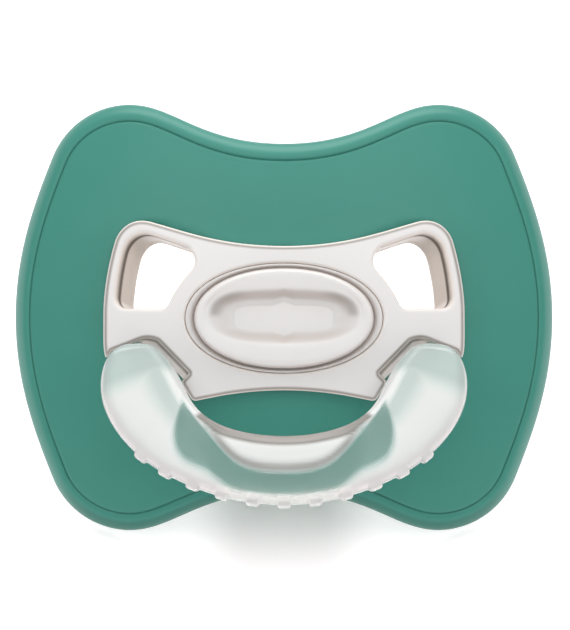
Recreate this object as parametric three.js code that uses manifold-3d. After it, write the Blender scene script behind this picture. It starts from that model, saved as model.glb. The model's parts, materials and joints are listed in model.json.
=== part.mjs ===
// A baby's pacifier in millimetres: curved shield, front plate with two vent ducts, centre cap, teat and handle.
// The pieces are modelled around the shield: +X to its right, +Y from its front towards the mouth, +Z up the shield.
// The finished group then leans back until the two lower wing tips and the teat stand on the table.
import * as THREE from "three";
import { mergeVertices } from "three/addons/utils/BufferGeometryUtils.js";
import Module from "manifold-3d";

const wasm = await Module();
wasm.setup();

// ---- driving dimensions ----
const SHIELD_WIDTH = 48;
const SHIELD_HEIGHT = 38;
const SHIELD_THICKNESS = 2.4;
const CURVE_ACROSS = 34; // radius of the shield's curve from side to side
const CURVE_UPRIGHT = 48; // radius of its curve from bottom to top
const RIM_WIDTH = 1.35;
const RIM_PROUD = 0.3;

const PLATE_THICKNESS = 2.2;
const PLATE_HALF_WIDTH = 16.15;
const DUCT_WALL = 0.5;
const VENT_CENTER = [11.8, 4];
const VENT_DROP = 0.19; // how far a vent runs down for each millimetre it runs back

const OVAL_WIDTH = 17.6; // opening in the plate for the cap
const OVAL_HEIGHT = 9.9;
const PAD_WIDTH = 15.8; // raised pad of the cap
const PAD_HEIGHT = 8.8;
const WINDOW_WIDTH = 9;
const WINDOW_HEIGHT = 2.8;
const PAD_FRONT = -2.95;
const WINDOW_FLOOR = -2.05;
const DISH_RADII = [6.7, 1.1, 2.6]; // half width, depth and half height of the dish in the pad
const CAP_BODY_FRONT = -1.6;
const BOSS_RADIUS = 4.6; // disc behind the cap that closes the plate's opening

const NECK_RADIUS = 4.7;
const TEAT_WALL = 1.3;
const TEAT_FLANGE_RADIUS = 6.1;
const TEAT_FLANGE_FRONT = 0.75;
const TEAT_FLANGE_THICKNESS = 1;
const TEAT_LENGTH = 28.5; // how far the teat reaches behind the shield's centre
const BULB_HALF_WIDTH = 7.6;
const BULB_HALF_HEIGHT = 4.4;
const STEM_BACK = 5.4; // how far the cap's stem reaches into the teat's neck
const HUB_RADIUS = 6.3;
const HUB_BACK = 3.7;

const HINGE_DEPTH = 0.1; // hinge axis, measured from the front of the shield's centre
const HINGE_HEIGHT = -3.4;
const PIN_RADIUS = 0.8;
const PIN_FROM = 8.4;
const KNUCKLE_RADIUS = 1.45;
const HANDLE_THICKNESS = 2.8;
const HANDLE_BEVEL = 0.6;
const HANDLE_INNER = 10.2; // hinge axis to the inner edge of the handle's bow
const HANDLE_OUTER = 16; // hinge axis to its outer edge
const HANDLE_HALF_WIDTH = 16.25;
const RIB_COUNT = 11;
const RIB_SPREAD = 39; // degrees of the bow that the grip ribs cover, each side of the middle
const RIB_WIDTH = 1.1;
const RIB_PROUD = 0.35;
const BOW_RADIUS = 20.5; // circle that the bow's outer edge follows under the ribs

const FIXED_GAP = 0.1; // between pieces that are pressed or moulded together
const RUNNING_GAP = 0.08; // between the hinge pin and its socket
const LEAN = 42.85; // degrees that the shield leans back when it stands on its tips and teat
const HANDLE_OPEN = 37; // degrees that the handle stands out from the shield

// ---- outlines, as points in the shield's XZ plane ----
const point = (x, z) => new THREE.Vector2(x, z);

// Joins cubic curves end to end: the first point, then two handles and an end point for each curve.
function smoothLine(start, curves, steps) {
  const line = [start];
  for (const [handleA, handleB, end] of curves) {
    const curve = new THREE.CubicBezierCurve(line.at(-1), handleA, handleB, end);
    line.push(...curve.getPoints(steps).slice(1));
  }
  return line;
}

// Closes a right-hand half, which starts and ends on X = 0, with its mirror image.
function mirroredLoop(half) {
  const left = half.slice(1, -1).map((p) => point(-p.x, p.y));
  return [...half, ...left.reverse()];
}

// A closed loop with each corner rounded to its own radius.
function roundedLoop(corners, steps) {
  const loop = [];
  corners.forEach(([corner, radius], i) => {
    const before = corners.at(i - 1)[0];
    const after = corners[(i + 1) % corners.length][0];
    const from = corner.clone().add(before.clone().sub(corner).setLength(radius));
    const to = corner.clone().add(after.clone().sub(corner).setLength(radius));
    loop.push(...new THREE.QuadraticBezierCurve(from, corner, to).getPoints(steps));
  });
  return loop;
}

// Moves a clockwise loop outwards, or inwards with a negative distance.
function offsetLoop(loop, distance) {
  return loop.map((p, i) => {
    const along = loop[(i + 1) % loop.length].clone().sub(loop.at(i - 1));
    return p.clone().add(point(-along.y, along.x).setLength(distance));
  });
}

const mirrorLoop = (loop) => loop.map((p) => point(-p.x, p.y)).reverse();

function shieldOutline() {
  const [side, top] = [SHIELD_WIDTH / 2, SHIELD_HEIGHT / 2];
  const wing = point(13.8, top);
  const shoulder = point(20.65, top - 4.6);
  const upper = smoothLine(
    point(0, top - 3.5),
    [
      [point(7.5, top - 3.5), point(9.8, top), wing],
      [point(16.6, top), point(19.45, top - 1.65), shoulder],
      [point(22.3, top - 8.7), point(side, top / 3.3), point(side, 0)],
    ],
    9,
  );
  const lower = upper.slice(0, -1).map((p) => point(p.x, -p.y));
  return mirroredLoop([...upper, ...lower.reverse()]);
}

function plateOutline() {
  const side = PLATE_HALF_WIDTH;
  const edge = smoothLine(
    point(0, 6.4),
    [
      [point(5.5, 6.4), point(8.6, 7.7), point(11.9, 8.67)],
      [point(13.3, 9.05), point(14.5, 8.3), point(15, 6.95)],
      [point(15.5, 5.2), point(side, 2.6), point(side, 0.3)],
      [point(side, -1.2), point(16.1, -2.6), point(15.85, -3.7)],
    ],
    6,
  );
  const notch = smoothLine(
    edge.at(-1),
    [
      [point(15, -2.3), point(13.6, -1.8), point(12.3, -1.8)],
      [point(11.8, -1.8), point(11.5, -1.8), point(11.2, -2.03)],
    ],
    5,
  );
  const corner = [point(8.4, -4.9), point(9.15, -5.7)];
  const bottom = smoothLine(
    point(8.1, -7.4),
    [[point(5.3, -6.75), point(2.7, -6.4), point(0, -6.4)]],
    6,
  );
  return mirroredLoop([...edge, ...notch.slice(1), ...corner, ...bottom]);
}

// The right-hand vent, clockwise.
function ventOutline() {
  const loop = smoothLine(
    point(14, 0.76),
    [
      [point(14.6, 0.76), point(15.02, 1.3), point(14.98, 2)],
      [point(14.9, 3.2), point(14.7, 4.5), point(14.35, 5.9)],
      [point(14.05, 6.9), point(13.2, 7.8), point(11.9, 7.42)],
      [point(10.9, 7.1), point(9.9, 6.75), point(8.9, 6.42)],
      [point(8.5, 6.3), point(8.3, 6.1), point(8.05, 5.65)],
      [point(7.75, 5.1), point(7.85, 4.6), point(8.4, 4.05)],
      [point(9.1, 3.35), point(9.7, 2.5), point(10.05, 1.8)],
      [point(10.35, 1.2), point(10.4, 0.76), point(11, 0.76)],
    ],
    3,
  );
  return loop.reverse();
}

function handleOutline() {
  const top = -KNUCKLE_RADIUS;
  const half = smoothLine(
    point(0, HANDLE_INNER),
    [
      [point(4.2, HANDLE_INNER), point(7.4, 8.3), point(8.7, 5)],
      [point(9.1, 3.9), point(9.5, 2), point(10.4, 0.8)],
      [point(11.2, -0.4), point(11.8, top), point(13, top)],
      [point(15.3, top), point(HANDLE_HALF_WIDTH, 0.8), point(HANDLE_HALF_WIDTH, 3.3)],
      [point(HANDLE_HALF_WIDTH, 6.9), point(13.4, 10.9), point(9.9, 13)],
      [point(7.2, 14.7), point(3.8, HANDLE_OUTER), point(0, HANDLE_OUTER)],
    ],
    6,
  );
  return mirroredLoop(half).map((p) => point(p.x, -p.y));
}

// ---- solids ----
function toSolid(geometry) {
  geometry.deleteAttribute("normal");
  geometry.deleteAttribute("uv");
  const merged = mergeVertices(geometry, 1e-4);
  const vertProperties = merged.attributes.position.array;
  const triVerts = new Uint32Array(merged.index.array);
  return new wasm.Manifold(new wasm.Mesh({ numProp: 3, vertProperties, triVerts }));
}

function toMesh(name, solid, material) {
  const made = solid.getMesh();
  const geometry = new THREE.BufferGeometry();
  geometry.setAttribute("position", new THREE.BufferAttribute(made.vertProperties, 3));
  geometry.setIndex(new THREE.BufferAttribute(made.triVerts, 1));
  const flat = geometry.toNonIndexed();
  flat.computeVertexNormals();
  const mesh = new THREE.Mesh(flat, material);
  mesh.name = name;
  return mesh;
}

// How far the shield's front face falls back at a point of its outline.
const fallBack = (x, z) => (x * x) / (2 * CURVE_ACROSS) + (z * z) / (2 * CURVE_UPRIGHT);

// A curved sheet that follows the shield, between two depths measured at the centre.
function curvedSheet(front, back, reach = 27) {
  const rings = 11;
  const radii = Array.from({ length: rings + 1 }, (_, i) => (reach * i) / rings);
  const face = (depth) => radii.map((r) => new THREE.Vector2(r, depth + fallBack(r, 0)));
  const geometry = new THREE.LatheGeometry([...face(front), ...face(back).reverse()], 48);
  return toSolid(geometry.scale(1, 1, Math.sqrt(CURVE_UPRIGHT / CURVE_ACROSS)));
}

// A straight slab with the loop's outline, between two depths.
function slab(loop, front, back) {
  const options = { depth: back - front, bevelEnabled: false };
  const geometry = new THREE.ExtrudeGeometry(new THREE.Shape(loop), options);
  return geometry.rotateX(Math.PI / 2).translate(0, back, 0);
}

// A slab that runs back through a vent, leaning towards the middle with the shield's curve and a little down.
function alongVent(loop, side) {
  const [x, z] = [side * VENT_CENTER[0], VENT_CENTER[1]];
  const depth = fallBack(x, z);
  const shear = new THREE.Matrix4().makeShear(0, 0, -x / CURVE_ACROSS, -VENT_DROP, 0, 0);
  const geometry = slab(loop, -8, 8).applyMatrix4(shear);
  return toSolid(geometry.translate(0, depth - PLATE_THICKNESS, 0));
}

function disc(radius, front, back, segments = 40) {
  const geometry = new THREE.CylinderGeometry(radius, radius, back - front, segments);
  return toSolid(geometry.translate(0, (front + back) / 2, 0));
}

function ovalDisc(width, height, front, back) {
  const geometry = new THREE.CylinderGeometry(1, 1, back - front, 56);
  geometry.scale(width / 2, 1, height / 2);
  return toSolid(geometry.translate(0, (front + back) / 2, 0));
}

function rodAcross(radius, from, to, segments = 24) {
  const geometry = new THREE.CylinderGeometry(radius, radius, to - from, segments);
  return toSolid(geometry.rotateZ(Math.PI / 2).translate((from + to) / 2, 0, 0));
}

function block(width, depth, height, x, y, z) {
  return toSolid(new THREE.BoxGeometry(width, depth, height).translate(x, y, z));
}

// ---- the pieces ----
const vents = [
  [ventOutline(), 1],
  [mirrorLoop(ventOutline()), -1],
];

function shieldSolid() {
  const outline = shieldOutline();
  const panel = curvedSheet(0, SHIELD_THICKNESS).intersect(toSolid(slab(outline, -10, 25)));
  const rimRing = toSolid(slab(outline, -10, 25)).subtract(
    toSolid(slab(offsetLoop(outline, -RIM_WIDTH), -12, 27)),
  );
  const rim = curvedSheet(-RIM_PROUD, SHIELD_THICKNESS + RIM_PROUD).intersect(rimRing);
  const hub = disc(HUB_RADIUS, SHIELD_THICKNESS - 0.4, HUB_BACK);
  const seatDepth = TEAT_FLANGE_FRONT + TEAT_FLANGE_THICKNESS + FIXED_GAP;
  const flangeSeat = disc(TEAT_FLANGE_RADIUS + FIXED_GAP, -3, seatDepth);
  let shield = panel.add(rim).add(hub);
  shield = shield.subtract(flangeSeat).subtract(disc(NECK_RADIUS + FIXED_GAP, -3, HUB_BACK + 1));
  for (const [loop, side] of vents) {
    shield = shield.subtract(alongVent(offsetLoop(loop, DUCT_WALL + FIXED_GAP), side));
  }
  return shield;
}

// The socket opens at the back, where the pin is dropped in before the plate goes on the shield.
function pinSocket(side) {
  const radius = PIN_RADIUS + RUNNING_GAP;
  const [near, far] = [PIN_FROM - RUNNING_GAP, 12];
  const bore = rodAcross(radius, near, far);
  const mouth = block(far - near, 3, 2 * radius, (near + far) / 2, 1.5, 0);
  const socket = bore.add(mouth).translate([0, HINGE_DEPTH, HINGE_HEIGHT]);
  return side > 0 ? socket : socket.mirror([1, 0, 0]);
}

function frontPlateSolid() {
  const outline = toSolid(slab(plateOutline(), -10, 25));
  const oval = ovalDisc(OVAL_WIDTH, OVAL_HEIGHT, -5, 5);
  let plate = curvedSheet(-PLATE_THICKNESS, -FIXED_GAP, 18).intersect(outline).subtract(oval);
  const ductDepth = curvedSheet(-PLATE_THICKNESS / 2, SHIELD_THICKNESS + 0.2, 18);
  for (const [loop, side] of vents) {
    const duct = alongVent(offsetLoop(loop, DUCT_WALL), side).intersect(ductDepth);
    plate = plate.add(duct).subtract(alongVent(loop, side)).subtract(pinSocket(side));
  }
  return plate;
}

function centerCapSolid() {
  const body = ovalDisc(OVAL_WIDTH - 0.3, OVAL_HEIGHT - 0.3, CAP_BODY_FRONT, -FIXED_GAP);
  const pad = ovalDisc(PAD_WIDTH, PAD_HEIGHT, PAD_FRONT, CAP_BODY_FRONT + 0.1);
  const dish = new THREE.SphereGeometry(1, 40, 20).scale(...DISH_RADII).translate(0, PAD_FRONT, 0);
  const corner = [point(1, 1), point(1, -1), point(-1, -1), point(-1, 1)];
  const windowLoop = roundedLoop(
    corner.map((p) => [point((p.x * WINDOW_WIDTH) / 2, (p.y * WINDOW_HEIGHT) / 2), 1.2]),
    5,
  );
  const windowCut = toSolid(slab(windowLoop, PAD_FRONT - 1, WINDOW_FLOOR));
  const boss = disc(BOSS_RADIUS, -0.5, TEAT_FLANGE_FRONT - 0.05);
  const stemRadius = NECK_RADIUS - TEAT_WALL - FIXED_GAP;
  const stem = disc(stemRadius, -0.5, STEM_BACK);
  const bore = disc(stemRadius - 1, 0.5, STEM_BACK + 1);
  return body.add(pad).add(boss).add(stem).subtract(bore).subtract(toSolid(dish)).subtract(windowCut);
}

// Radius of the teat's outside before it is flattened, at a depth behind the shield.
const teatLine = (wall) =>
  new THREE.CatmullRomCurve3(
    [
      [TEAT_FLANGE_FRONT, NECK_RADIUS],
      [6, NECK_RADIUS],
      [9, 4.5],
      [12, 4.8],
      [16, 6.1],
      [21, BULB_HALF_WIDTH],
      [25, 6.9],
      [27.6, 4.2],
      [TEAT_LENGTH, 0],
    ].map(([depth, radius]) => {
      const tip = depth === TEAT_LENGTH;
      return new THREE.Vector3(tip ? 0 : radius - wall, tip ? depth - wall : depth, 0);
    }),
    false,
    "centripetal",
  )
    .getPoints(20)
    .map((p) => new THREE.Vector2(Math.max(p.x, 0), p.y));

function teatSolid() {
  const outside = teatLine(0);
  const inside = teatLine(TEAT_WALL);
  const flangeBack = TEAT_FLANGE_FRONT + TEAT_FLANGE_THICKNESS;
  const flange = [
    point(TEAT_FLANGE_RADIUS, TEAT_FLANGE_FRONT),
    point(TEAT_FLANGE_RADIUS, flangeBack),
    point(NECK_RADIUS, flangeBack),
  ];
  const wallOut = outside.filter((p) => p.y > flangeBack + 0.2);
  const profile = [...inside.reverse(), ...flange, ...wallOut];
  const geometry = new THREE.LatheGeometry(profile, 32);
  const position = geometry.attributes.position;
  const flattest = BULB_HALF_HEIGHT / BULB_HALF_WIDTH;
  for (let i = 0; i < position.count; i++) {
    const along = THREE.MathUtils.smoothstep(position.getY(i), 7, 20);
    position.setZ(i, position.getZ(i) * THREE.MathUtils.lerp(1, flattest, along));
  }
  return toSolid(geometry);
}

// The handle points down from the hinge axis, which is its own origin.
function handleSolid() {
  const options = {
    depth: HANDLE_THICKNESS - 2 * HANDLE_BEVEL,
    bevelThickness: HANDLE_BEVEL,
    bevelSize: HANDLE_BEVEL,
    bevelOffset: -HANDLE_BEVEL,
    bevelSegments: 2,
  };
  const bow = new THREE.ExtrudeGeometry(new THREE.Shape(handleOutline()), options);
  bow.rotateX(Math.PI / 2).translate(0, options.depth / 2, 0);
  const reach = 2 * HANDLE_HALF_WIDTH;
  const knuckle = rodAcross(KNUCKLE_RADIUS, -reach / 2, reach / 2, 32);
  const below = block(reach, HANDLE_THICKNESS, 20, 0, 0, -10);
  let handle = toSolid(bow).intersect(knuckle.add(below));
  for (const side of [-1, 1]) {
    const pin = rodAcross(PIN_RADIUS, PIN_FROM, 12.5);
    handle = handle.add(side > 0 ? pin : pin.mirror([1, 0, 0]));
  }
  return handle.add(gripRibs());
}

// Short ribs across the outer edge of the bow, evenly spread on the circle that the bow follows there.
function gripRibs() {
  const ribs = Array.from({ length: RIB_COUNT }, (_, i) => {
    const turn = RIB_SPREAD * ((2 * i) / (RIB_COUNT - 1) - 1);
    const rib = new THREE.BoxGeometry(RIB_WIDTH, HANDLE_THICKNESS - 1.2, 1.6);
    rib.translate(0, 0, -BOW_RADIUS + 0.8 - RIB_PROUD);
    rib.rotateY(THREE.MathUtils.degToRad(-turn));
    return toSolid(rib.translate(0, 0, BOW_RADIUS - HANDLE_OUTER));
  });
  return ribs.reduce((all, rib) => all.add(rib));
}

// ---- materials ----
const plastic = (color, roughness, opacity = 1) =>
  new THREE.MeshStandardMaterial({ color, roughness, metalness: 0, opacity, transparent: opacity < 1 });

const greenPlastic = plastic(0x4b8f82, 0.45);
const frostedPlastic = plastic(0xe6e4e2, 0.3, 0.85);
const silicone = plastic(0xeeeae4, 0.35, 0.7);

// ---- assembly ----
const hinged = new THREE.Group();
hinged.add(toMesh("handle", handleSolid(), frostedPlastic));
hinged.position.set(0, HINGE_DEPTH, HINGE_HEIGHT);
hinged.rotation.x = THREE.MathUtils.degToRad(-HANDLE_OPEN);

const leaning = new THREE.Group();
leaning.add(toMesh("shield", shieldSolid(), greenPlastic));
leaning.add(toMesh("front_plate", frontPlateSolid(), frostedPlastic));
leaning.add(toMesh("center_cap", centerCapSolid(), frostedPlastic));
leaning.add(toMesh("teat", teatSolid(), silicone));
leaning.add(hinged);
leaning.rotation.x = THREE.MathUtils.degToRad(-LEAN);

const pacifier = new THREE.Group();
pacifier.add(leaning);
pacifier.updateMatrixWorld(true);

// The origin is on the table, under the middle of the whole object.
const extent = new THREE.Box3().setFromObject(pacifier, true);
const middle = extent.getCenter(new THREE.Vector3());
leaning.position.set(-middle.x, -middle.y, -extent.min.z);

export default pacifier;
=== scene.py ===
"""A baby's pacifier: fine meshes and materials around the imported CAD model.

Every outline is drawn in millimetres in the shield's own frame, as in the CAD model: X across, Y from its
front towards the mouth and Z up the shield. One matrix then leans the shield back to where that model stands.
"""
import json
import math

import bmesh
import bpy
import numpy as np
from mathutils import Matrix, Vector
from mathutils.geometry import delaunay_2d_cdt


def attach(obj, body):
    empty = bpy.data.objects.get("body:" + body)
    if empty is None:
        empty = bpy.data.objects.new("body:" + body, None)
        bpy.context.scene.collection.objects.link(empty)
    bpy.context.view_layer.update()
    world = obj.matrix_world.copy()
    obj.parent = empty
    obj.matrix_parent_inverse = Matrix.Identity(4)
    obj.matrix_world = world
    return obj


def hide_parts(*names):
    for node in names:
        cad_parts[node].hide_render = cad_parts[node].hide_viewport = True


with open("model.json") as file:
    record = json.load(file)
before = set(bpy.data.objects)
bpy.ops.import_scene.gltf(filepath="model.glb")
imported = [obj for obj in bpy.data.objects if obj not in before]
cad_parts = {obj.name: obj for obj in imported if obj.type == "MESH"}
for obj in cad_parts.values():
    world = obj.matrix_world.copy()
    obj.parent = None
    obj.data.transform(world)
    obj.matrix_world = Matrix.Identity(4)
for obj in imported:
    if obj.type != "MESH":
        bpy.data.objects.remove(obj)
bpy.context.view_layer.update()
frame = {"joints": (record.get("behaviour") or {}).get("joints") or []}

MM = 0.001

# ---- driving dimensions, in millimetres and degrees, as in the CAD model ----
SHIELD_HALF_WIDTH = 24
SHIELD_HALF_HEIGHT = 19
SHIELD_THICKNESS = 2.4
CURVE_ACROSS = 34
CURVE_UPRIGHT = 48
PLATE_THICKNESS = 2.2
PLATE_GAP = 0.1
DUCT_WALL = 0.5
VENT_CENTER = 11.8
VENT_DROP = 0.19
NECK_RADIUS = 4.7
TEAT_WALL = 1.3
TEAT_FLANGE_RADIUS = 6.1
TEAT_FLANGE_FRONT = 0.75
TEAT_FLANGE_THICKNESS = 1
TEAT_LENGTH = 28.5
BULB_HALF_WIDTH = 7.6
BULB_HALF_HEIGHT = 4.4
HUB_RADIUS = 6.3
HUB_BACK = 3.7
STEM_BACK = 5.4
HINGE_DEPTH = 0.1
HINGE_HEIGHT = -3.4
KNUCKLE_RADIUS = 1.45
HANDLE_TOP = 1.1
HANDLE_OUTER = 16
HANDLE_HALF_WIDTH = 16.25
HANDLE_HALF_DEPTH = 1.4
LEAN = 42.85
HANDLE_OPEN = 37

# ---- shapes that are finer than the CAD model's or a little different, in millimetres ----
BACK_EDGE_ROUND = 0.9
PLATE_HALF_WIDTH = 16.05
PLATE_LIP = 0.42
OVAL_HALF = (8.8, 4.9)
OVAL_LIP = 0.28
DUCT_BACK = 2.6
FLARE_FROM = 1.1
PAD_HALF = (7.95, 4.42)
DISH_HALF = (6.9, 2.65)
WINDOW_HALF = (4.3, 1.1)
WINDOW_POINT = 0.36
CAP_FLOOR = -1.75
CAP_CREST = -3
HANDLE_INNER = 9.5
BOW_CREST = 0.9
BOW_ENDS = 13
RIB_COUNT = 11
RIB_PITCH = 2.8
RIB_WIDTH = 1.1
RIB_PROUD = 0.35

# ---- distances between mesh points, in millimetres ----
SHIELD_STEP = 0.35
PLATE_STEP = 0.12
VENT_STEP = 0.15
SHIELD_FILL_STEP = 0.7
PLATE_FILL_STEP = 0.45

# ---- studio: the camera's target is in millimetres, its lens too, and the rest in metres and degrees ----
WORLD_STRENGTH = 0.9
CAMERA_LENS = 900
CAMERA_ELEVATION = 43.3
CAMERA_TARGET = (0.09, 0, 0.27)
CAMERA_DISTANCE = 1.398
FLOOR_REACH = 1.2

# ---- places ----
hinge = Vector(frame["joints"][0]["pos_m"])
lean = Matrix.Rotation(math.radians(-LEAN), 4, "X")
hinge_in_shield = Vector((0, HINGE_DEPTH, HINGE_HEIGHT)) * MM
SHIELD_TO_ROW = Matrix.Translation(hinge) @ lean @ Matrix.Translation(-hinge_in_shield)
HANDLE_TO_ROW = Matrix.Translation(hinge) @ Matrix.Rotation(math.radians(-LEAN - HANDLE_OPEN), 4, "X")


# ---- outlines: arrays of (x, z) points ----
def smooth_line(start, curves, steps=24):
    """Cubic curves end to end: the first point, then two handles and an end point for each curve."""
    t = np.linspace(0, 1, steps + 1)[1:, None]
    line = [np.array([start], float)]
    for handle_a, handle_b, end in curves:
        a, b, c, d = (np.array(p, float) for p in (line[-1][-1], handle_a, handle_b, end))
        line.append((1 - t) ** 3 * a + 3 * (1 - t) ** 2 * t * b + 3 * (1 - t) * t**2 * c + t**3 * d)
    return np.vstack(line)


def rounded_corner(before, corner, after, radius, steps=8):
    """A corner softened by a quadratic curve that starts and ends at radius from it."""
    before, corner, after = (np.array(p, float) for p in (before, corner, after))
    start = corner + (before - corner) / np.linalg.norm(before - corner) * radius
    end = corner + (after - corner) / np.linalg.norm(after - corner) * radius
    t = np.linspace(0, 1, steps + 1)[:, None]
    return (1 - t) ** 2 * start + 2 * (1 - t) * t * corner + t**2 * end


def mirrored_loop(right_half):
    """Closes a half that starts and ends on x = 0 with its mirror image."""
    left = right_half[1:-1][::-1] * (-1, 1)
    return np.vstack([right_half, left])


def evenly(loop, spacing):
    """The closed loop again, counter-clockwise, with points at an even spacing."""
    closed = np.vstack([loop, loop[:1]])
    length = np.r_[0, np.cumsum(np.linalg.norm(np.diff(closed, axis=0), axis=1))]
    at = np.linspace(0, length[-1], max(12, round(length[-1] / spacing)) + 1)[:-1]
    even = np.column_stack([np.interp(at, length, closed[:, i]) for i in (0, 1)])
    x, z = even[:, 0], even[:, 1]
    area = np.sum(x * np.roll(z, -1) - z * np.roll(x, -1))
    return even if area > 0 else even[::-1]


def inward(loop):
    """Unit normals to the left of a loop, which is inwards for a counter-clockwise one."""
    along = np.roll(loop, -1, axis=0) - np.roll(loop, 1, axis=0)
    along /= np.linalg.norm(along, axis=1)[:, None]
    return np.column_stack([-along[:, 1], along[:, 0]])


def moved(loop, distance):
    """The loop moved to its left. Where it would fold over, its points gather at the crossing."""
    at = loop + inward(loop) * np.reshape(distance, (-1, 1))
    clear = np.array([np.min(np.hypot(*(loop - p).T)) for p in at])
    good = clear >= np.abs(distance) * 0.995
    kept = np.flatnonzero(good)
    for column in (0, 1):
        at[~good, column] = np.interp(np.flatnonzero(~good), kept, at[kept, column], period=len(loop))
    return at


def ellipse(half_width, half_height, count, power=2.0, center=(0, 0)):
    """An ellipse, or with a higher power a superellipse, counter-clockwise from +x."""
    angle = np.linspace(0, 2 * math.pi, count, endpoint=False)
    c, s = np.cos(angle), np.sin(angle)
    x = half_width * np.sign(c) * np.abs(c) ** (2 / power)
    z = half_height * np.sign(s) * np.abs(s) ** (2 / power)
    return np.column_stack([x + center[0], z + center[1]])


def shield_outline():
    """A butterfly: wide at both sides, with a dip in the middle of the top and of the bottom."""
    side, top = SHIELD_HALF_WIDTH, SHIELD_HALF_HEIGHT
    upper = smooth_line(
        (0, top - 3.5),
        [
            ((7.5, top - 3.5), (9.8, top), (13.8, top)),
            ((16.6, top), (19.45, top - 1.65), (20.65, top - 4.6)),
            ((22.3, top - 8.7), (side, top / 3.3), (side, 0)),
        ],
    )
    lower = upper[:-1][::-1] * (1, -1)
    return mirrored_loop(np.vstack([upper, lower]))


def plate_outline():
    """The front plate, with a slot in each lower corner where a knuckle of the handle stands."""
    side = PLATE_HALF_WIDTH
    tip, slot_corner, slot_end, foot = (15.85, -3.7), (8.4, -4.9), (9.15, -5.7), (8.1, -7.4)
    edge = smooth_line(
        (0, 6.4),
        [
            ((5.5, 6.4), (8.6, 7.65), (11.9, 8.55)),
            ((13.3, 8.9), (14.5, 8.2), (15, 6.85)),
            ((15.5, 5.2), (side, 2.6), (side, 0.3)),
            ((side, -1.2), (16.1, -2.6), (15.95, -3.2)),
        ],
    )
    arch = smooth_line(
        (15.3, -2.95),
        [
            ((14.6, -2.65), (13.7, -2.35), (12.9, -2)),
            ((12.4, -1.8), (11.8, -1.75), (11.2, -2.03)),
        ],
    )
    bottom = smooth_line(foot, [((5.3, -6.75), (2.7, -6.4), (0, -6.4))])
    half = [
        edge,
        rounded_corner(edge[-1], tip, arch[0], 0.4),
        arch,
        rounded_corner(arch[-1], slot_corner, slot_end, 0.12),
        rounded_corner(slot_corner, slot_end, foot, 0.4),
        rounded_corner(slot_end, foot, bottom[6], 0.4),
        bottom[8:],
    ]
    return mirrored_loop(np.vstack(half))


def vent_outline(side):
    """The vent on the right, or with side -1 on the left: flat below, slanting above and inside."""
    loop = smooth_line(
        (14, 0.9),
        [
            ((13, 0.9), (12, 0.9), (11, 0.9)),
            ((10.5, 0.9), (10.38, 1.3), (10.1, 1.85)),
            ((9.75, 2.5), (9.2, 3.35), (8.55, 4.05)),
            ((8, 4.6), (7.9, 5.1), (8.15, 5.6)),
            ((8.38, 6.08), (8.55, 6.28), (8.95, 6.42)),
            ((9.9, 6.75), (10.9, 7.1), (11.9, 7.42)),
            ((13.2, 7.8), (14.05, 6.9), (14.35, 5.9)),
            ((14.7, 4.5), (14.9, 3.2), (14.98, 2)),
            ((15.02, 1.35), (14.6, 0.9), (14, 0.9)),
        ],
    )
    return loop[:-1] * (side, 1)


# ---- surfaces ----
def ease(value, start, end):
    """0 before start, 1 after end, and a smooth step in between; start may be the larger of the two."""
    share = min(max((value - start) / (end - start), 0), 1)
    return share * share * (3 - 2 * share)


def fall_back(x, z):
    """How far the shield's front falls back at a point of its outline."""
    return x * x / (2 * CURVE_ACROSS) + z * z / (2 * CURVE_UPRIGHT)


def follows(depth):
    """A surface that runs along the shield at a depth measured at its centre."""
    return lambda x, z: fall_back(x, z) + depth


def level(depth):
    """A flat surface square to the teat."""
    return lambda x, z: np.full_like(x, float(depth))


def between(surface_a, surface_b, share):
    """A surface that lies a share of the way from one to the other."""
    return lambda x, z: surface_a(x, z) * (1 - share) + surface_b(x, z) * share


def quarter_round(start_inset, end_inset, start_depth, end_depth, base, steps=5):
    """Profile points on a quarter ellipse, leaving the face level and ending square to it."""
    angles = np.linspace(0, math.pi / 2, steps + 1)
    return [
        (
            start_inset + (end_inset - start_inset) * math.sin(a),
            base(start_depth + (end_depth - start_depth) * (1 - math.cos(a))),
        )
        for a in angles
    ]


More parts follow.
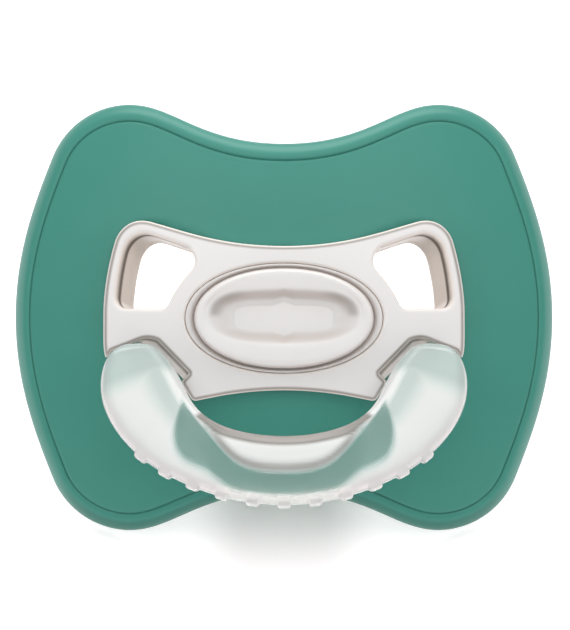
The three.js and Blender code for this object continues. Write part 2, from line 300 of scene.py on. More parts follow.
# ---- mesh building ----
class Shell:
    """Collects rings of points and the faces between them, in the shield's frame.

    painted_shade says for each point how much painted shade it gets, from 0 to 1.
    """

    def __init__(self):
        self.points = []
        self.painted_shade = []
        self.faces = []

    def ring(self, loop, depths, painted_shade=0):
        """Adds the points of a loop at their depths, and returns their numbers."""
        start = len(self.points)
        self.points.extend((x, y, z) for (x, z), y in zip(loop, depths))
        self.painted_shade.extend(np.broadcast_to(painted_shade, len(loop)))
        return list(range(start, start + len(loop)))

    def bridge(self, ring_a, ring_b):
        """Adds a band of faces between two rings of equal length."""
        for i, (a, b) in enumerate(zip(ring_a, ring_b)):
            j = (i + 1) % len(ring_a)
            self.faces.append((a, b, ring_b[j], ring_a[j]))

    def cap(self, ring, depth):
        """Closes a ring with a fan round one middle point."""
        loop = np.array([self.points[i] for i in ring])
        self.points.append((loop[:, 0].mean(), depth, loop[:, 2].mean()))
        self.painted_shade.append(0)
        self.fan(ring)

    def fan(self, ring):
        """Joins a ring to the last point."""
        middle = len(self.points) - 1
        for i, a in enumerate(ring):
            self.faces.append((a, ring[(i + 1) % len(ring)], middle))

    def loft(self, rings):
        for ring_a, ring_b in zip(rings, rings[1:]):
            self.bridge(ring_a, ring_b)

    def fill(self, rings, surface, spacing):
        """Triangulates the face inside the first ring and outside the others, with an even grid."""
        loops = [np.array([self.points[i] for i in ring])[:, (0, 2)] for ring in rings]
        low, high = loops[0].min(axis=0), loops[0].max(axis=0)
        rows = np.arange(low[1], high[1], spacing * math.sqrt(3) / 2)
        columns = np.arange(low[0], high[0], spacing)
        grid = np.array([(x + spacing / 2 * (i % 2), z) for i, z in enumerate(rows) for x in columns])
        edge = np.vstack(loops)
        keep = inside(grid, loops)
        keep[keep] = [np.min(np.hypot(*(edge - p).T)) > 0.6 * spacing for p in grid[keep]]
        grid = grid[keep]
        start = len(self.points)
        self.points.extend((x, y, z) for (x, z), y in zip(grid, surface(grid[:, 0], grid[:, 1])))
        self.painted_shade.extend([0] * len(grid))
        index = [i for ring in rings for i in ring] + list(range(start, len(self.points)))
        borders, first = [], 0
        for ring in rings:
            borders += [(first + i, first + (i + 1) % len(ring)) for i in range(len(ring))]
            first += len(ring)
        flat = np.vstack([edge, grid])
        made = delaunay_2d_cdt([Vector(p) for p in flat], borders, [], 0, 1e-7)
        crossings = [tuple(p) for p, origin in zip(made[0], made[3]) if not origin]
        if crossings:
            raise ValueError(f"borders cross at {crossings}")
        source = [index[origin[0]] for origin in made[3]]
        triangles = np.array([tuple(face) for face in made[2]])
        middles = np.array([tuple(p) for p in made[0]])[triangles].mean(axis=1)
        for triangle in triangles[inside(middles, loops)]:
            self.faces.append(tuple(source[i] for i in triangle))

    def build(self, name, matrix, curved=True):
        """The finished object, moved by the matrix; curved says whether it follows the shield's curve."""
        mesh = bpy.data.meshes.new(name)
        mesh.from_pydata([matrix @ (Vector(p) * MM) for p in self.points], [], self.faces)
        mesh.validate()
        piece = finished(name, mesh, matrix.inverted(), curved)
        # The painted shade goes onto the mesh as an attribute that the materials darken by.
        if any(self.painted_shade):
            mesh.attributes.new("painted_shade", "FLOAT", "POINT").data.foreach_set("value", self.painted_shade)
        return piece


def finished(name, mesh, to_shield, curved):
    """An object of that mesh, with its faces outwards and shaded smooth.

    Its attribute "steep" says how far each point's surface turns away from the front, from 0 to 1; the
    frosted materials paint shade on edge-on walls by it.
    """
    work = bmesh.new()
    work.from_mesh(mesh)
    bmesh.ops.remove_doubles(work, verts=work.verts, dist=1e-7)
    bmesh.ops.recalc_face_normals(work, faces=work.faces)
    work.to_mesh(mesh)
    work.free()
    mesh.shade_smooth()
    steep = []
    for vertex in mesh.vertices:
        at, normal = to_shield @ vertex.co / MM, to_shield.to_3x3() @ vertex.normal
        square = Vector((-at.x / CURVE_ACROSS, 1, -at.z / CURVE_UPRIGHT)) if curved else Vector((0, 1, 0))
        steep.append(ease(abs(normal.dot(square.normalized())), 0.985, 0.5))
    mesh.attributes.new("steep", "FLOAT", "POINT").data.foreach_set("value", steep)
    piece = bpy.data.objects.new(name, mesh)
    bpy.context.scene.collection.objects.link(piece)
    return piece


def inside(points, loops):
    """Which points are inside an odd number of the loops."""
    x, z = points[:, :1], points[:, 1:]
    odd = np.zeros(len(points), bool)
    for loop in loops:
        ax, az = loop[:, 0], loop[:, 1]
        bx, bz = np.roll(ax, -1), np.roll(az, -1)
        spans = (az > z) != (bz > z)
        rise = np.where(bz == az, 1, bz - az)
        odd ^= np.sum(spans & (x < (bx - ax) * (z - az) / rise + ax), axis=1) % 2 == 1
    return odd


def edge_rings(shell, loop, material_side, profile, slant=(0, 0), slant_from=None, flare=None):
    """Rings of one border, from the front face to the back face.

    A profile entry is the distance into the material, the surface and, where it isn't 0, the painted shade
    value.
    slant moves the ring sideways for each millimetre of depth behind slant_from, so that a wall can run
    square to the curved shield. flare is each point's sideways travel from FLARE_FROM behind the first ring
    to the last.
    """
    rings = []
    for inset, surface, *painted_shade in profile:
        layers = profile[0][1], surface, profile[-1][1]
        first, depth, last = (layer(loop[:, 0], loop[:, 1]) for layer in layers)
        at = moved(loop, inset * material_side)
        if flare is not None:
            share = (depth - first - FLARE_FROM) / (last - first - FLARE_FROM)
            at = at + flare * np.clip(share, 0, 1)[:, None]
        depth = surface(at[:, 0], at[:, 1])
        if slant_from is not None:
            at = at + np.clip(depth - slant_from(at[:, 0], at[:, 1]), 0, None)[:, None] * np.array(slant)
        rings.append(shell.ring(at, depth, *painted_shade))
    shell.loft(rings)
    return rings[0], rings[-1]


def shaded(profile, shade):
    """The profile with a painted shade value for each entry, from pairs of depth and value."""
    return [(inset, surface, np.interp(surface(0, 0), *zip(*shade))) for inset, surface in profile]


# ---- the pieces ----
def vent_slant(side):
    """Sideways travel of a vent's walls for each millimetre of depth: inwards and a little down."""
    return (-side * VENT_CENTER / CURVE_ACROSS, -VENT_DROP)


def shield_rim(outline):
    """Profile of the shield's rim: a fine channel, a flat land, a slope and a bead round the back; shade is
    painted in the channel and under the rim.
    """
    front, back = follows(0), follows(SHIELD_THICKNESS)
    # Painted shade: the rim's land and slope are darker where they face down, away from the light above.
    underside_shade = np.array([ease(value, 0.3, 0.85) for value in inward(outline)[:, 1]])
    # The fine channel's rings, each with how much painted shade it gets.
    painted_shade = [(1.53, 0.03, 0), (1.49, 0.12, 1), (1.43, 0.14, 1), (1.38, 0.04, 0)]
    land = [(1.33, -0.01), (1.2, -0.05), (1.05, -0.07), (0.9, -0.06), (0.76, -0.01), (0.62, 0.08)]
    slope = [(0.48, 0.2), (0.34, 0.35), (0.21, 0.52), (0.11, 0.7), (0.04, 0.88), (0.01, 1.04), (0, 1.2)]
    rim = [(2.6, front), (1.8, front), (1.58, front)]
    rim += [(inset, follows(depth), dark) for inset, depth, dark in painted_shade]
    rim += [(inset, follows(depth), underside_shade * ease(inset, 0.84, 0.66)) for inset, depth in land + slope]
    for step in range(7):
        angle = math.pi / 2 * step / 6
        depth = 1.8 + BACK_EDGE_ROUND * math.sin(angle)
        rim.append((BACK_EDGE_ROUND * (1 - math.cos(angle)), follows(depth)))
    rim += [(inset, follows(depth)) for inset, depth in ((1.3, 2.68), (1.5, 2.55), (1.65, 2.42))]
    return rim + [(1.85, back), (2.6, back)]


def make_shield():
    """A curved disc with a rim, two vents, and a hub with a bore and a seat for the teat's flange."""
    shell = Shell()
    front, back = follows(0), follows(SHIELD_THICKNESS)
    plate_front = follows(-PLATE_THICKNESS)
    outline = evenly(shield_outline(), SHIELD_STEP)
    narrower_at_sides = 1.04 - 0.14 * inward(outline)[:, 0] ** 2
    borders = [edge_rings(shell, outline, narrower_at_sides, shield_rim(outline))]
    clearance = DUCT_WALL + PLATE_GAP
    wall = [
        (0.45, front), (0.15, front), (0.04, follows(0.03)), (0, follows(0.12)),
        (0, follows(2.1)), (0.06, follows(2.34)), (0.2, back), (0.25, back),
    ]
    for side in (1, -1):
        loop = evenly(vent_outline(side), VENT_STEP)
        loop = evenly(moved(loop, -clearance), VENT_STEP)
        borders.append(edge_rings(shell, loop, -1, wall, vent_slant(side), plate_front))
    seat = TEAT_FLANGE_RADIUS - NECK_RADIUS
    seat_floor = TEAT_FLANGE_FRONT + TEAT_FLANGE_THICKNESS + PLATE_GAP
    hub = HUB_RADIUS - NECK_RADIUS - PLATE_GAP
    bore = [
        (seat + 0.5, front), (seat + 0.1, front), (seat, follows(0.1)),
        (seat, level(seat_floor - 0.1)), (seat - 0.1, level(seat_floor)), (0.1, level(seat_floor)),
        (0, level(seat_floor + 0.1)), (0, level(HUB_BACK - 0.15)), (0.15, level(HUB_BACK)),
        (hub - 0.4, level(HUB_BACK)), (hub - 0.22, level(HUB_BACK - 0.07)),
        (hub - 0.15, level(HUB_BACK - 0.25)), (hub - 0.12, between(level(HUB_BACK - 0.25), back, 0.6)),
        (hub - 0.07, between(level(3.3), back, 0.9)), (hub, back), (hub + 0.08, back),
    ]
    circle = ellipse(NECK_RADIUS + PLATE_GAP, NECK_RADIUS + PLATE_GAP, 128)
    borders.append(edge_rings(shell, circle, -1, bore))
    shell.fill([first for first, _ in borders], front, SHIELD_FILL_STEP)
    shell.fill([last for _, last in borders], back, SHIELD_FILL_STEP)
    return shell.build("shield_shell", SHIELD_TO_ROW)


def slot_flare(outline):
    """How far the plate's wall beside a knuckle leans towards it, away from the middle and down."""
    x, z = np.abs(outline[:, 0]), outline[:, 1]
    slot_side, slot_bottom = 13.5, -5.7
    beside_knuckle = (z < -1) & (z > slot_bottom) & (x > 8.2) & (x < slot_side)
    travel = beside_knuckle * np.clip((slot_side - x) / 1.7, 0, 1)
    travel = travel * np.clip((z - slot_bottom) / 0.8, 0, 1) * 0.8
    return travel[:, None] * np.column_stack([0.72 * np.sign(outline[:, 0]), np.full(len(x), -0.7)])


def make_front_plate():
    """A plate with rounded lips, an oval hole for the cap, and a duct through the shield behind each vent."""
    shell = Shell()
    front, back = follows(-PLATE_THICKNESS), follows(-PLATE_GAP)
    lip = [(PLATE_LIP + 0.02, front)]
    lip += quarter_round(PLATE_LIP, 0, -PLATE_THICKNESS, PLATE_LIP - PLATE_THICKNESS, follows, 7)
    outer = lip + [(0, follows(depth)) for depth in (-1.65, -1.2, -0.85, -0.7, -0.2)]
    outer += [(0.03, follows(-0.12)), (0.1, back), (0.16, back)]
    # Pairs of depth and painted shade, from the front to the back: a painted dark line round the rounded lip,
    # painted shade on the walls and ducts behind it and at the ducts' back ends.
    rim_shade = [(-2.2, 0), (-2.19, 0.3), (-2.16, 0.75), (-2.1, 0.75), (-2.04, 0.35), (-1.94, 0)]
    wall_shade = [(-1.65, 0.45), (-1.5, 0.75), (-1.2, 1), (-0.85, 1), (-0.7, 0.1), (-0.2, 0.05)]
    outer_shade = rim_shade + [(depth, dark * 0.7) for depth, dark in wall_shade]
    duct_shade = [(-2.15, 0), (-1.95, 0.15)] + wall_shade
    duct_shade += [(1, 0), (2.05, 0), (2.2, 0.35), (2.5, 0.4)]
    outline = evenly(plate_outline(), PLATE_STEP)
    borders = [edge_rings(shell, outline, 1, shaded(outer, outer_shade), flare=slot_flare(outline))]
    duct = lip + [
        (0, follows(-1.65)), (0.01, follows(-1.5)), (0.04, follows(-1.2)), (0.04, follows(-0.85)),
        (0, follows(-0.7)), (0, follows(-0.2)), (0, follows(1)), (0, follows(1.5)), (-0.08, follows(1.7)),
        (-0.12, follows(1.9)), (-0.1, follows(2.05)), (-0.04, follows(2.2)), (0, follows(DUCT_BACK - 0.2)),
        (0.06, follows(DUCT_BACK - 0.05)), (0.2, follows(DUCT_BACK)), (DUCT_WALL - 0.2, follows(DUCT_BACK)),
        (DUCT_WALL - 0.06, follows(DUCT_BACK - 0.05)), (DUCT_WALL, follows(DUCT_BACK - 0.2)),
        (DUCT_WALL, follows(-0.08)), (DUCT_WALL + 0.02, back), (DUCT_WALL + 0.06, back),
    ]
    for side in (1, -1):
        loop = evenly(vent_outline(side), VENT_STEP)
        borders.append(edge_rings(shell, loop, -1, shaded(duct, duct_shade), vent_slant(side), front))
    oval = ellipse(*OVAL_HALF, 220, 2.05)
    oval_lip = [(OVAL_LIP + 0.02, front)]
    oval_lip += quarter_round(OVAL_LIP, 0, -PLATE_THICKNESS, -1.95, follows, 5)
    borders.append(edge_rings(shell, oval, -1, oval_lip + outer[-4:]))
    shell.fill([first for first, _ in borders], front, PLATE_FILL_STEP)
    shell.fill([last for _, last in borders], back, PLATE_FILL_STEP)
    return shell.build("front_plate_shell", SHIELD_TO_ROW)


def window_loop(count):
    """A long window with round ends and a small point in the middle of its top and bottom."""
    loop = ellipse(*WINDOW_HALF, count, 5)
    peak = np.clip(1 - np.abs(loop[:, 0]) / 0.78, 0, None)
    loop[:, 1] += np.sign(loop[:, 1]) * WINDOW_POINT * peak
    return loop


def domed(depth):
    """A surface that follows the shield, but is only about half as curved."""
    return lambda x, z: fall_back(x, z) * 0.55 + depth


def cap_front_rings(pad, count):
    """The window, the dish that rises from it with painted shade round the window and in its upper corners,
    and the pad's rounded edge.
    """
    window, dish = window_loop(count), ellipse(*DISH_HALF, count, 2.6, (0, 0.3))
    rings = [(window * share, level(CAP_FLOOR)) for share in (0.4, 0.8, 0.94, 1)]
    upper = np.clip(window[:, 1] / 0.8, 0, 1)
    dish_top, round_depth = CAP_CREST + 0.12, 0.6
    for share in np.linspace(0.04, 1, 24):
        loop = window * (1 - share) + dish * share
        # Painted shade: a faint band round the window, more in the dish's upper corners, fading out at the
        # dish's edge.
        corner = [ease(share, 0.35, 0.7) * ease(abs(x), 2.8, 5) * ease(z, -0.1, 0.6) for x, z in loop]
        painted_shade = (0.13 + 0.4 * np.array(corner)) * ease(share, 1, 0.75)
        steps = [ease(share, 0.25 * above, 1.05 - 0.2 * above) for above in upper]
        rise = 0.22 * share + 0.78 * np.array(steps)
        rings.append((loop, between(level(CAP_FLOOR - 0.02), domed(dish_top), rise), painted_shade))
    for share in np.linspace(0.25, 0.75, 3):
        rings.append((dish * (1 - share) + pad * 0.92 * share, domed(CAP_CREST + 0.12 * (1 - share))))
    for angle in np.radians(np.linspace(6, 90, 10)):
        loop = pad + inward(pad) * 0.34 * (1 - math.sin(angle))
        rings.append((loop, domed(CAP_CREST + round_depth * (1 - math.cos(angle)))))
    rings.append((pad, between(domed(CAP_CREST + round_depth), follows(-1.5), 0.6)))
    return rings + [(pad, follows(-1.6))]


def make_center_cap():
    """An oval cap that fills the plate's hole, with a boss and a hollow stem that holds the teat."""
    shell = Shell()
    count = 240
    pad = ellipse(*PAD_HALF, count, 2.05)
    body = ellipse(OVAL_HALF[0] - 0.03, OVAL_HALF[1] - 0.03, count, 2.05)
    to_pad, to_body = inward(pad), inward(body)
    rings = cap_front_rings(pad, count)
    # The shelf round the pad, then the cap's side.
    rings += [
        (pad - to_pad * 0.03, follows(-1.5)), (pad - to_pad * 0.08, follows(-1.5)),
        (pad - to_pad * 0.15, follows(-1.85)), (pad * 0.5 + body * 0.5, follows(-2)),
        (body + to_body * 0.16, follows(-2.1)), (body + to_body * 0.04, follows(-2.07)),
        (body, follows(-1.98)), (body, follows(-0.35)), (body + to_body * 0.12, follows(-0.2)),
    ]
    boss, stem = OVAL_HALF[1] - 0.35, NECK_RADIUS - TEAT_WALL - 0.1
    boss_back = TEAT_FLANGE_FRONT - 0.05
    rings.append((ellipse(boss + 0.1, boss + 0.1, count), follows(-0.2)))
    stem_floor = 0.5
    rounds = [
        (boss, -0.05), (boss, boss_back - 0.1), (boss - 0.1, boss_back),
        (stem + 0.1, boss_back), (stem, boss_back + 0.1), (stem, STEM_BACK - 0.3),
        (stem - 0.25, STEM_BACK), (stem - 0.85, STEM_BACK), (stem - 1, STEM_BACK - 0.15),
        (stem - 1, stem_floor + 0.2), (stem - 1.2, stem_floor), (0.8, stem_floor),
    ]
    rings += [(ellipse(radius, radius, count), level(depth)) for radius, depth in rounds]
    made = []
    for loop, surface, *painted_shade in rings:
        made.append(shell.ring(loop, surface(loop[:, 0], loop[:, 1]), *painted_shade))
    shell.loft(made)
    shell.cap(made[0], CAP_FLOOR)
    shell.cap(made[-1], stem_floor)
    return shell.build("center_cap_shell", SHIELD_TO_ROW)


def teat_line(wall):
    """Points (radius, depth) from the neck to the tip, on a smooth curve."""
    line = smooth_line(
        (NECK_RADIUS, TEAT_FLANGE_FRONT + TEAT_FLANGE_THICKNESS),
        [
            ((NECK_RADIUS, 4), (NECK_RADIUS, 5.5), (4.65, 7)),
            ((4.3, 9.6), (4.6, 12), (5.7, 15)),
            ((6.6, 17.4), (BULB_HALF_WIDTH, 18.8), (BULB_HALF_WIDTH, 21.4)),
            ((BULB_HALF_WIDTH, 25.6), (4.4, TEAT_LENGTH), (0.05, TEAT_LENGTH)),
        ],
        16,
    )
    if wall:
        line = line + inward(np.vstack([line, line[::-1] * (-1, 1)]))[: len(line)] * wall
        line[:, 0] = np.clip(line[:, 0], 0.02, None)
    return line


def make_teat():
    """A hollow teat, round at the neck and flattened towards the bulb, with a flange at its foot."""
    shell = Shell()
    count = 96
    flange_back = TEAT_FLANGE_FRONT + TEAT_FLANGE_THICKNESS
    outer_line, inner_line = teat_line(0), teat_line(TEAT_WALL)
    rim = TEAT_FLANGE_RADIUS
    flange = [
        (NECK_RADIUS - TEAT_WALL, TEAT_FLANGE_FRONT), (rim - 0.15, TEAT_FLANGE_FRONT),
        (rim, TEAT_FLANGE_FRONT + 0.15), (rim, flange_back - 0.15), (rim - 0.15, flange_back),
        (NECK_RADIUS + 0.1, flange_back),
    ]
    inner = [tuple(p) for p in inner_line if p[1] > flange_back + 0.3][::-1]
    outer = [tuple(p) for p in outer_line if p[1] > flange_back + 0.1]
    rings = []
    for radius, depth in inner + flange + outer:
        flat = 1 + (BULB_HALF_HEIGHT / BULB_HALF_WIDTH - 1) * ease(depth, 7, 20)
        rings.append(shell.ring(ellipse(radius, radius * flat, count), np.full(count, depth)))
    shell.loft(rings)
    shell.cap(rings[0], inner[0][1])
    shell.cap(rings[-1], outer[-1][1])
    return shell.build("teat_skin", SHIELD_TO_ROW)


def at_share(line, shares):
    """Points of an open line at shares of its length."""
    length = np.r_[0, np.cumsum(np.linalg.norm(np.diff(line, axis=0), axis=1))]
    return np.column_stack([np.interp(shares * length[-1], length, line[:, i]) for i in (0, 1)]), length[-1]


def bow_edges(shares):
    """Points on the bow's inner and outer edge at shares of their length, and the outer edge's length."""
    top, side = -HANDLE_TOP, HANDLE_HALF_WIDTH
    inner_half = smooth_line(
        (BOW_ENDS, top),
        [
            ((11.8, top), (11, -0.4), (10.2, 0.8)),
            ((9.3, 2.1), (8.8, 3.8), (8.3, 5)),
            ((7, 7.9), (4.1, HANDLE_INNER), (0, HANDLE_INNER)),
        ],
    )
    outer_half = smooth_line(
        (BOW_ENDS, top),
        [
            ((15.3, top), (side, 0.8), (side, 3.3)),
            ((side, 6.9), (13.4, 10.9), (9.9, 13)),
            ((7.2, 14.7), (3.8, HANDLE_OUTER), (0, HANDLE_OUTER)),
        ],
    )
    inner, _ = at_share(np.vstack([inner_half, inner_half[-2::-1] * (-1, 1)]), shares)
    outer, length = at_share(np.vstack([outer_half, outer_half[-2::-1] * (-1, 1)]), shares)
    return inner, outer, length


def bow_clearness(w, t, middle, height, crease, rib):
    """How clear the bow is: in its long window, beside the rim, near the hinge and at the back."""
    window_end = 1.16 - 0.24 * ease(middle, 3, 8) - 0.82 * ease(middle, 9.5, 18)
    window = ease(w, crease - 0.02, crease + 0.03) * ease(w, window_end, window_end - 0.18)
    window *= ease(middle, 17, 14.5)
    near_hinge = 0.55 * ease(height, 4.6, 2.4)
    beside_rim = 0.45 * ease(w, 0.16, 0.23) * ease(w, 0.6, 0.3) * ease(middle, 9, 10.5)
    at_back = ease(t, 0.1, -0.2)
    solid_edge = (0.4 + 0.3 * rib) * ease(w, 0.945, 0.985) * ease(t, -0.55, -0.25)
    return max(window, near_hinge, beside_rim, at_back) * (1 - solid_edge)


def bow_painted_shade(w, t, middle, crease, rib):
    """How much painted shade the bow gets: on its inner rim, in the fold below its crest and along its outer
    edge.
    """
    rim_end = 0.31 - 0.13 * ease(middle, 7, 12)
    rim = (0.82 + 0.13 * ease(w, rim_end - 0.1, rim_end - 0.05)) * ease(w, rim_end, rim_end - 0.05)
    rim *= ease(middle, 13, 12)
    fold = 0.55 * ease(abs(w - crease + 0.03), 0.06, 0.01) * ease(middle, 11, 7)
    foot = 0.2 * ease(w, 0.92, 0.98) * ease(middle, 8, 5) * (1 - rib)
    return max(rim, fold, foot) * ease(t, -0.3, 0.1)


def make_handle():
    """The bow is a row of rounded sections between its inner and outer edge, closed at both knuckles.

    On a section w runs from 0 at the inner edge to 1 at the outer one, and t from -1 at the back to 1 in
    front.
    """
    stations, section, bunching = 640, 84, 0.55
    # Shares of the bow's length, closer together at the two round ends.
    even = np.linspace(0, 1, stations)
    shares = (even - np.sin(2 * math.pi * even) / (2 * math.pi) * bunching)[1:-1]
    inner, outer, bow_length = bow_edges(shares)
    from_middle = np.abs(shares - 0.5) * bow_length
    # One section's points, evenly along a rounded rectangle, then w and t for each.
    half_width, half_depth = 3, 1.5
    around = evenly(ellipse(half_width, half_depth, 4000, 3), 0.01)[::-1]
    around = around[np.linspace(0, len(around), section, endpoint=False).astype(int)]
    across, through = 0.5 - around[:, 0] / (2 * half_width), around[:, 1] / half_depth
    shell, clear = Shell(), []
    for start, end, middle in zip(inner, outer, from_middle):
        height = (start[1] + end[1]) / 2
        past_knuckle = (height + HANDLE_TOP) / KNUCKLE_RADIUS
        end_round = math.sqrt(max(1 - max(1 - past_knuckle, 0) ** 2, 0.0004))
        in_bow = 1 / (1 + (middle / 11) ** 4)
        crease = 0.08 + 0.57 / (1 + (middle / 8) ** 4)
        nearest_rib = min(round(middle / RIB_PITCH), RIB_COUNT // 2)
        rib = ease(abs(middle - nearest_rib * RIB_PITCH), RIB_WIDTH / 2 + 0.12, RIB_WIDTH / 2 - 0.08)
        direction = (end - start) / np.linalg.norm(end - start)
        for w, t in zip(across, through):
            crest = BOW_CREST * in_bow * ease(w, crease + 0.06, crease - 0.12) if t > 0 else 0
            depth = (HANDLE_HALF_DEPTH - 0.2 * in_bow * w + crest) * end_round
            proud = RIB_PROUD * rib * ease(w, 0.9, 0.96) * ease(t, 0.35, -0.05)
            x, v = start + (end - start) * w + direction * proud
            shell.points.append((x, -t * depth, -v))
            clear.append(bow_clearness(w, t, middle, height, crease, rib))
            # How much painted shade this point gets.
            shell.painted_shade.append(bow_painted_shade(w, t, middle, crease, rib))
    rings = [list(range(i * section, (i + 1) * section)) for i in range(len(inner))]
    shell.loft(rings)
    for ring, x in ((rings[0], BOW_ENDS), (rings[-1], -BOW_ENDS)):
        shell.points.append((x, 0, HANDLE_TOP))
        shell.painted_shade.append(0)
        clear.append(0)
        shell.fan(ring)
    bow = shell.build("handle_bow", HANDLE_TO_ROW, curved=False)
    bow.data.attributes.new("clear", "FLOAT", "POINT").data.foreach_set("value", clear)
    return bow


# ---- materials ----
def new_material(name):
    """A material, its node tree and its shader."""
    material = bpy.data.materials.new(name)
    material.use_nodes = True
    tree = material.node_tree
    return material, tree, tree.nodes["Principled BSDF"]


def add_node(tree, kind, **values):
    """A node with some of its sockets and settings filled in."""
    node = tree.nodes.new(kind)
    for key, value in values.items():
        if key in node.inputs:
            node.inputs[key].default_value = value
        else:
            setattr(node, key, value)
    return node


def add_ramp(tree, source, starts=(0, 1), ends=(0, 1), smooth=False):
    """Maps one range of a socket's values to another."""
    kind = "SMOOTHSTEP" if smooth else "LINEAR"
    ramp = add_node(tree, "ShaderNodeMapRange", interpolation_type=kind)
    for name, value in zip(("From Min", "From Max", "To Min", "To Max"), (*starts, *ends)):
        ramp.inputs[name].default_value = value
    tree.links.new(source, ramp.inputs["Value"])
    return ramp.outputs["Result"]


def fine_texture(tree, shader, scale, strength, roughness):
    """A moulded surface: faint grain in the bump and a little unevenness in the gloss."""
    place = add_node(tree, "ShaderNodeTexCoord")
    grain = add_node(tree, "ShaderNodeTexNoise", Scale=scale, Detail=4.0, Roughness=0.6)
    cloud = add_node(tree, "ShaderNodeTexNoise", Scale=scale / 25, Detail=2.0)
    bump = add_node(tree, "ShaderNodeBump", Strength=strength, Distance=0.00004)
    gloss = add_ramp(tree, cloud.outputs["Fac"], ends=(roughness - 0.04, roughness + 0.05))
    tree.links.new(place.outputs["Object"], grain.inputs["Vector"])
    tree.links.new(place.outputs["Object"], cloud.inputs["Vector"])
    tree.links.new(grain.outputs["Fac"], bump.inputs["Height"])
    tree.links.new(bump.outputs["Normal"], shader.inputs["Normal"])
    tree.links.new(gloss, shader.inputs["Roughness"])
    return cloud


def tinted(tree, shader, cloud, color_a, color_b):
    """Mixes two close colours by the soft cloud noise."""
    mix = add_node(tree, "ShaderNodeMix", data_type="RGBA")
    tree.links.new(cloud.outputs["Fac"], mix.inputs[0])
    mix.inputs[6].default_value = (*color_a, 1)
    mix.inputs[7].default_value = (*color_b, 1)
    tree.links.new(mix.outputs[2], shader.inputs["Base Color"])


def blended(tree, shader, attribute, share, color):
    """Blends the base colour towards another one by one of the mesh's attributes, and returns its socket."""
    present = shader.inputs["Base Color"].links[0].from_socket
    place = add_node(tree, "ShaderNodeAttribute", attribute_name=attribute)
    amount = add_node(tree, "ShaderNodeMath", operation="MULTIPLY")
    amount.inputs[1].default_value = share
    mix = add_node(tree, "ShaderNodeMix", data_type="RGBA")
    tree.links.new(place.outputs["Fac"], amount.inputs[0])
    tree.links.new(amount.outputs[0], mix.inputs[0])
    tree.links.new(present, mix.inputs[6])
    mix.inputs[7].default_value = (*color, 1)
    tree.links.new(mix.outputs[2], shader.inputs["Base Color"])
    return place.outputs["Fac"]


def green_plastic():
    """Opaque green with a satin surface, with painted shade in the rim's fine channel and under the rim."""
    material, tree, shader = new_material("green_plastic")
    cloud = fine_texture(tree, shader, 6000, 0.12, 0.36)
    tinted(tree, shader, cloud, (0.034, 0.186, 0.147), (0.037, 0.195, 0.155))
    # Painted shade: the green turns towards this dark green by the painted shade attribute.
    blended(tree, shader, "painted_shade", 0.5, (0.014, 0.1, 0.075))
    shader.inputs["Specular IOR Level"].default_value = 0.25
    return material


def frosted_plastic(name, transmission, color_a, color_b, roughness, painted_edge_shade):
    """See-through plastic with a milky surface, with painted shade: a warmer tint on edge-on walls, and the
    darkest colour, with less gloss, where the painted shade attribute is high.
    """
    material, tree, shader = new_material(name)
    cloud = fine_texture(tree, shader, 5000, 0.08, roughness)
    tinted(tree, shader, cloud, color_a, color_b)
    shader.inputs["IOR"].default_value = 1.45
    shader.inputs["Transmission Weight"].default_value = transmission
    # Painted shade on walls that turn away from the front.
    blended(tree, shader, "steep", 0.8, painted_edge_shade)
    # Painted shade on channels, rims, undersides and corners, which also takes the gloss away there.
    painted_shade = blended(tree, shader, "painted_shade", 0.9, (0.13, 0.1, 0.08))
    tree.links.new(add_ramp(tree, painted_shade, ends=(0.5, 0)), shader.inputs["Specular IOR Level"])
    return material


def frosted_handle():
    """Milky where the moulding is thick and clear in its thin windows."""
    colors = (0.64, 0.63, 0.625), (0.67, 0.66, 0.655)
    # Its last colour is the painted shade on edge-on walls.
    material = frosted_plastic("frosted_handle", 0.5, *colors, 0.2, (0.64, 0.62, 0.62))
    tree = material.node_tree
    shader = tree.nodes["Principled BSDF"]
    clear = blended(tree, shader, "clear", 0.9, (0.88, 0.98, 0.95))
    tree.links.new(add_ramp(tree, clear, ends=(0.3, 0.95)), shader.inputs["Transmission Weight"])
    return material


def silicone():
    """Soft, see-through and slightly yellow."""
    material, tree, shader = new_material("silicone")
    cloud = fine_texture(tree, shader, 3000, 0.1, 0.22)
    tinted(tree, shader, cloud, (0.9, 0.87, 0.82), (0.93, 0.91, 0.87))
    shader.inputs["IOR"].default_value = 1.41
    shader.inputs["Transmission Weight"].default_value = 0.85
    return material


def paint(piece, material):
    """Gives a piece its one material."""
    piece.data.materials.clear()
    piece.data.materials.append(material)


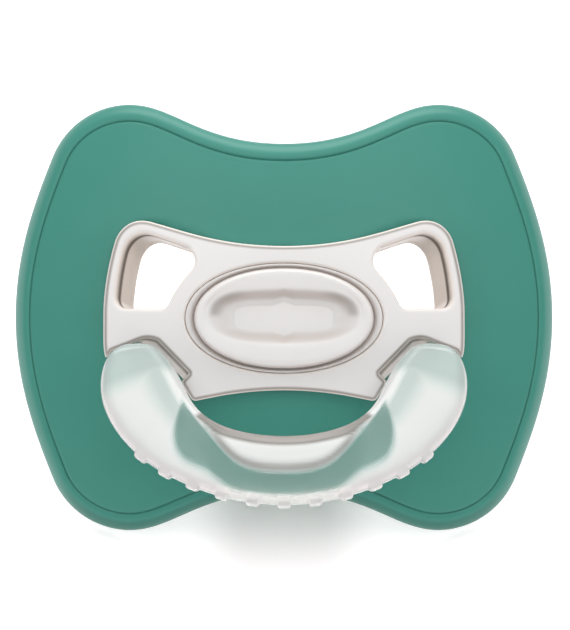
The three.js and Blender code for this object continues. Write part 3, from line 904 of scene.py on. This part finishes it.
# ---- floor, light and camera ----
def make_floor():
    """Pale paper with a painted glow from within on both sides of the shadow under the middle."""
    mesh = bpy.data.meshes.new("floor")
    corners = [(FLOOR_REACH * x, FLOOR_REACH * y, 0) for x, y in ((-1, -1), (1, -1), (1, 1), (-1, 1))]
    mesh.from_pydata(corners, [], [(0, 1, 2, 3)])
    floor = bpy.data.objects.new("floor", mesh)
    bpy.context.scene.collection.objects.link(floor)
    material, tree, shader = new_material("floor_paper")
    shader.inputs["Base Color"].default_value = (1, 0.945, 0.96, 1)
    shader.inputs["Roughness"].default_value = 0.9
    shader.inputs["Specular IOR Level"].default_value = 0.1
    place = add_node(tree, "ShaderNodeNewGeometry")
    across = add_node(tree, "ShaderNodeSeparateXYZ")
    beside = add_node(tree, "ShaderNodeMath", operation="ABSOLUTE")
    tree.links.new(place.outputs["Position"], across.inputs[0])
    tree.links.new(across.outputs["X"], beside.inputs[0])
    # Painted light: the floor glows on both sides of the middle, lightening the shadow there but not under
    # the middle.
    glow = add_node(tree, "ShaderNodeMath", operation="MULTIPLY")
    from_middle = add_ramp(tree, beside.outputs[0], (0.003, 0.0095), (0, 0.27), smooth=True)
    to_side = add_ramp(tree, beside.outputs[0], (0.03, 0.023), smooth=True)
    tree.links.new(from_middle, glow.inputs[0])
    tree.links.new(to_side, glow.inputs[1])
    tree.links.new(glow.outputs[0], shader.inputs["Emission Strength"])
    shader.inputs["Emission Color"].default_value = (1, 1, 1, 1)
    paint(floor, material)


def make_light(name, place, target, size, power):
    """A rectangular soft light that faces its target."""
    data = bpy.data.lights.new(name, "AREA")
    data.shape = "RECTANGLE"
    data.size, data.size_y = size
    data.energy = power
    light = bpy.data.objects.new(name, data)
    light.location = place
    light.rotation_euler = (Vector(target) - Vector(place)).to_track_quat("-Z", "Y").to_euler()
    bpy.context.scene.collection.objects.link(light)


def make_world():
    """A white studio ceiling over darker, warmer walls."""
    world = bpy.data.worlds.new("studio")
    world.use_nodes = True
    tree = world.node_tree
    place = add_node(tree, "ShaderNodeTexCoord")
    split = add_node(tree, "ShaderNodeSeparateXYZ")
    height = add_ramp(tree, split.outputs["Z"], (0.02, 0.5), smooth=True)
    mix = add_node(tree, "ShaderNodeMix", data_type="RGBA")
    mix.inputs[6].default_value = (0.3, 0.27, 0.25, 1)
    mix.inputs[7].default_value = (1, 1, 1, 1)
    tree.links.new(place.outputs["Generated"], split.inputs["Vector"])
    tree.links.new(height, mix.inputs[0])
    background = tree.nodes["Background"]
    tree.links.new(mix.outputs[2], background.inputs["Color"])
    background.inputs["Strength"].default_value = WORLD_STRENGTH
    bpy.context.scene.world = world


def make_camera():
    """A long lens that looks down at the shield's middle from in front."""
    data = bpy.data.cameras.new("camera")
    data.lens = CAMERA_LENS
    data.sensor_width = 36
    data.clip_start, data.clip_end = 0.01, 10
    camera = bpy.data.objects.new("camera", data)
    elevation = math.radians(CAMERA_ELEVATION)
    back = Vector((0, -math.cos(elevation), math.sin(elevation)))
    target = SHIELD_TO_ROW @ (Vector(CAMERA_TARGET) * MM)
    camera.location = target + back * CAMERA_DISTANCE
    camera.rotation_euler = (-back).to_track_quat("-Z", "Y").to_euler()
    bpy.context.scene.collection.objects.link(camera)
    bpy.context.scene.camera = camera


make_camera()

shield = make_shield()
front_plate = make_front_plate()
center_cap = make_center_cap()
teat = make_teat()
handle = make_handle()

paint(shield, green_plastic())
# The last colour of each frosted material is its painted shade on edge-on walls.
milky = 0.2, (0.7, 0.69, 0.68), (0.72, 0.71, 0.7), 0.3
paint(front_plate, frosted_plastic("frosted_plate", *milky, (0.93, 0.83, 0.76)))
paint(center_cap, frosted_plastic("frosted_cap", *milky, (0.63, 0.56, 0.52)))
paint(handle, frosted_handle())
paint(teat, silicone())

for piece, node, body, slot in (
    (shield, "shield", "shield_body", "shield_green"),
    (front_plate, "front_plate", "shield_body", "frosted_plastic"),
    (center_cap, "center_cap", "shield_body", "frosted_plastic"),
    (teat, "teat", "shield_body", "silicone"),
    (handle, "handle", "handle_body", "frosted_plastic"),
):
    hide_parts(node)
    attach(piece, body)

make_floor()
make_world()
make_light("overhead", (0, -0.1, 0.6), (0, 0, 0), (1, 1), 3)
make_light("top_back", (0, 0.45, 0.4), (0, 0, 0.01), (0.6, 0.3), 2.5)
make_light("front_left", (-0.5, -0.35, 0.55), (0, 0, 0.01), (0.3, 0.4), 0.5)
make_light("front_right", (0.5, -0.35, 0.55), (0, 0, 0.01), (0.3, 0.4), 0.5)
bpy.context.scene.view_settings.view_transform = "Standard"
